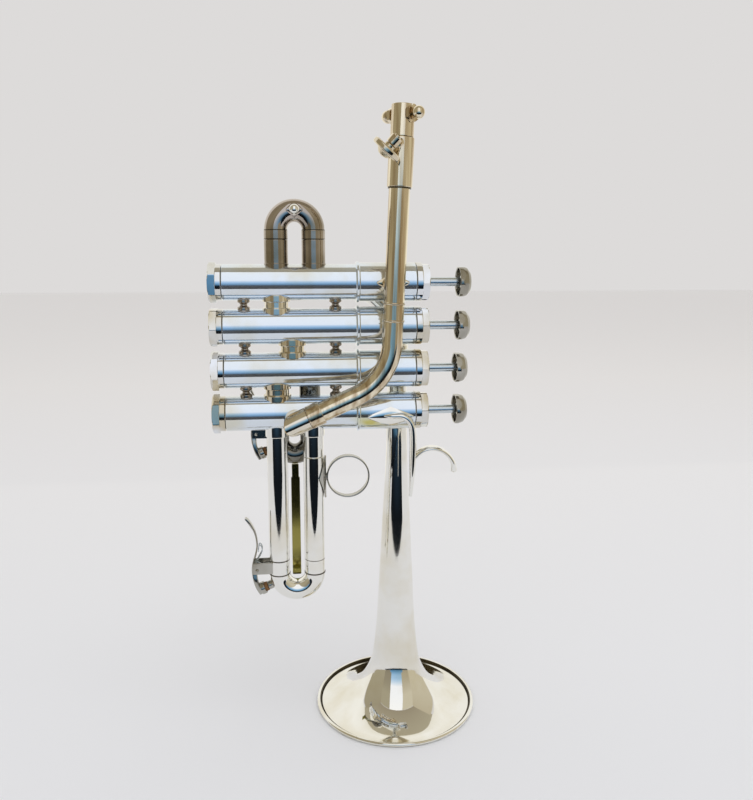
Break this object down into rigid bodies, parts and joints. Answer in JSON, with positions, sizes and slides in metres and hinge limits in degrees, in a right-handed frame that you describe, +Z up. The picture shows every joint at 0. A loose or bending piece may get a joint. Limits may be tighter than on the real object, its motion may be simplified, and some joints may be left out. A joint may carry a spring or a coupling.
{
  "type": "piccolo trumpet",
  "caption": "Silver piccolo trumpet standing on its bell, with in-line piston valves, tuning slides, water keys, finger ring, pinky hook and an adjustable mouthpiece receiver.",
  "frame": {"origin": "centre of the outline box at its bottom, in the plane of the bell's rim", "axes": "+Z up along the bell's axis, +X towards the finger buttons, -Y towards the leadpipe's side"},
  "size_m": [0.1568, 0.1066, 0.3584],
  "materials": {
    "silver_plate": "polished silver plate over brass",
    "valve_steel": "ground nickel alloy and spring wire",
    "cork": "matt natural cork"
  },
  "bodies": {
    "instrument": {"bell": "silver_plate", "bell_bow": "silver_plate", "bell_brace": "silver_plate", "bottom_cap_1": "silver_plate", "bottom_cap_2": "silver_plate", "bottom_cap_3": "silver_plate", "bottom_cap_4": "silver_plate", "first_slide_leg_a": "silver_plate", "first_slide_leg_b": "silver_plate", "fourth_slide_leg_a": "silver_plate", "fourth_slide_leg_b": "silver_plate", "leadpipe": "silver_plate", "leadpipe_brace": "silver_plate", "leadpipe_elbow": "silver_plate", "leadpipe_ferrule": "silver_plate", "leadpipe_sleeve": "silver_plate", "pinky_hook": "silver_plate", "second_slide_leg_a": "silver_plate", "second_slide_leg_b": "silver_plate", "third_slide_leg_a": "silver_plate", "third_slide_leg_b": "silver_plate", "top_cap_1": "silver_plate", "top_cap_2": "silver_plate", "top_cap_3": "silver_plate", "top_cap_4": "silver_plate", "valve_brace_1_2_a": "silver_plate", "valve_brace_1_2_b": "silver_plate", "valve_brace_2_3_a": "silver_plate", "valve_brace_2_3_b": "silver_plate", "valve_brace_3_4_a": "silver_plate", "valve_brace_3_4_b": "silver_plate", "valve_casing_1": "silver_plate", "valve_casing_2": "silver_plate", "valve_casing_3": "silver_plate", "valve_casing_4": "silver_plate", "valve_tube_1_2": "silver_plate", "valve_tube_2_3": "silver_plate", "valve_tube_3_4": "silver_plate"},
    "valve_1": {"piston_1": "valve_steel", "finger_button_1": "silver_plate"},
    "valve_2": {"piston_2": "valve_steel", "finger_button_2": "silver_plate"},
    "valve_3": {"piston_3": "valve_steel", "finger_button_3": "silver_plate"},
    "valve_4": {"piston_4": "valve_steel", "finger_button_4": "silver_plate"},
    "first_slide": {"first_slide_crook": "silver_plate"},
    "second_slide": {"second_slide_crook": "silver_plate"},
    "third_slide": {"third_slide_crook": "silver_plate", "third_slide_pull_bar": "silver_plate", "water_key_spring_3": "valve_steel"},
    "fourth_slide": {"fourth_slide_crook": "silver_plate", "finger_ring": "silver_plate", "water_key_spring_4": "valve_steel"},
    "water_key_on_slide_3": {"water_key_3": "silver_plate", "water_key_cork_3": "cork"},
    "water_key_on_slide_4": {"water_key_4": "silver_plate", "water_key_cork_4": "cork"},
    "receiver": {"mouthpiece_receiver": "silver_plate"},
    "thumbscrew": {"thumbscrew": "silver_plate"}
  },
  "joints": [
    {"name": "valve_1_stroke", "type": "slide", "parent": "instrument", "child": "valve_1", "axis": [-1, 0, 0], "range_m": [0, 0.015], "stiffness_N_per_m": 150, "springref_m": -0.02},
    {"name": "valve_2_stroke", "type": "slide", "parent": "instrument", "child": "valve_2", "axis": [-1, 0, 0], "range_m": [0, 0.015], "stiffness_N_per_m": 150, "springref_m": -0.02},
    {"name": "valve_3_stroke", "type": "slide", "parent": "instrument", "child": "valve_3", "axis": [-1, 0, 0], "range_m": [0, 0.015], "stiffness_N_per_m": 150, "springref_m": -0.02},
    {"name": "valve_4_stroke", "type": "slide", "parent": "instrument", "child": "valve_4", "axis": [-1, 0, 0], "range_m": [0, 0.015], "stiffness_N_per_m": 150, "springref_m": -0.02},
    {"name": "first_slide_pull", "type": "slide", "parent": "instrument", "child": "first_slide", "axis": [0, 0, 1], "range_m": [0, 0.008]},
    {"name": "second_slide_pull", "type": "slide", "parent": "instrument", "child": "second_slide", "axis": [0, 1, 0], "range_m": [0, 0.004]},
    {"name": "third_slide_pull", "type": "slide", "parent": "instrument", "child": "third_slide", "axis": [0, 0, -1], "range_m": [0, 0.01]},
    {"name": "fourth_slide_pull", "type": "slide", "parent": "instrument", "child": "fourth_slide", "axis": [0, 0, -1], "range_m": [0, 0.05]},
    {"name": "receiver_pull", "type": "slide", "parent": "instrument", "child": "receiver", "axis": [0.0419, 0, 0.9991], "range_m": [0, 0.012]},
    {"name": "water_key_3_hinge", "type": "hinge", "parent": "third_slide", "child": "water_key_on_slide_3", "pos_m": [-0.05535, 0.00181, 0.17815], "axis": [0, 1, 0], "range_deg": [0, 15], "stiffness_Nm_per_rad": 0.02, "springref_deg": -20.05, "deforming": ["water_key_spring_3"]},
    {"name": "water_key_4_hinge", "type": "hinge", "parent": "fourth_slide", "child": "water_key_on_slide_4", "pos_m": [-0.05605, -0.01469, 0.1009], "axis": [0, 1, 0], "range_deg": [0, 15], "stiffness_Nm_per_rad": 0.02, "springref_deg": -20.05, "deforming": ["water_key_spring_4"]},
    {"name": "thumbscrew_turn", "type": "hinge", "parent": "instrument", "child": "thumbscrew", "pos_m": [0.01554, -0.0452, 0.3342], "axis": [-0.6609, 0.1702, -0.731], "continuous": true}
  ]
}
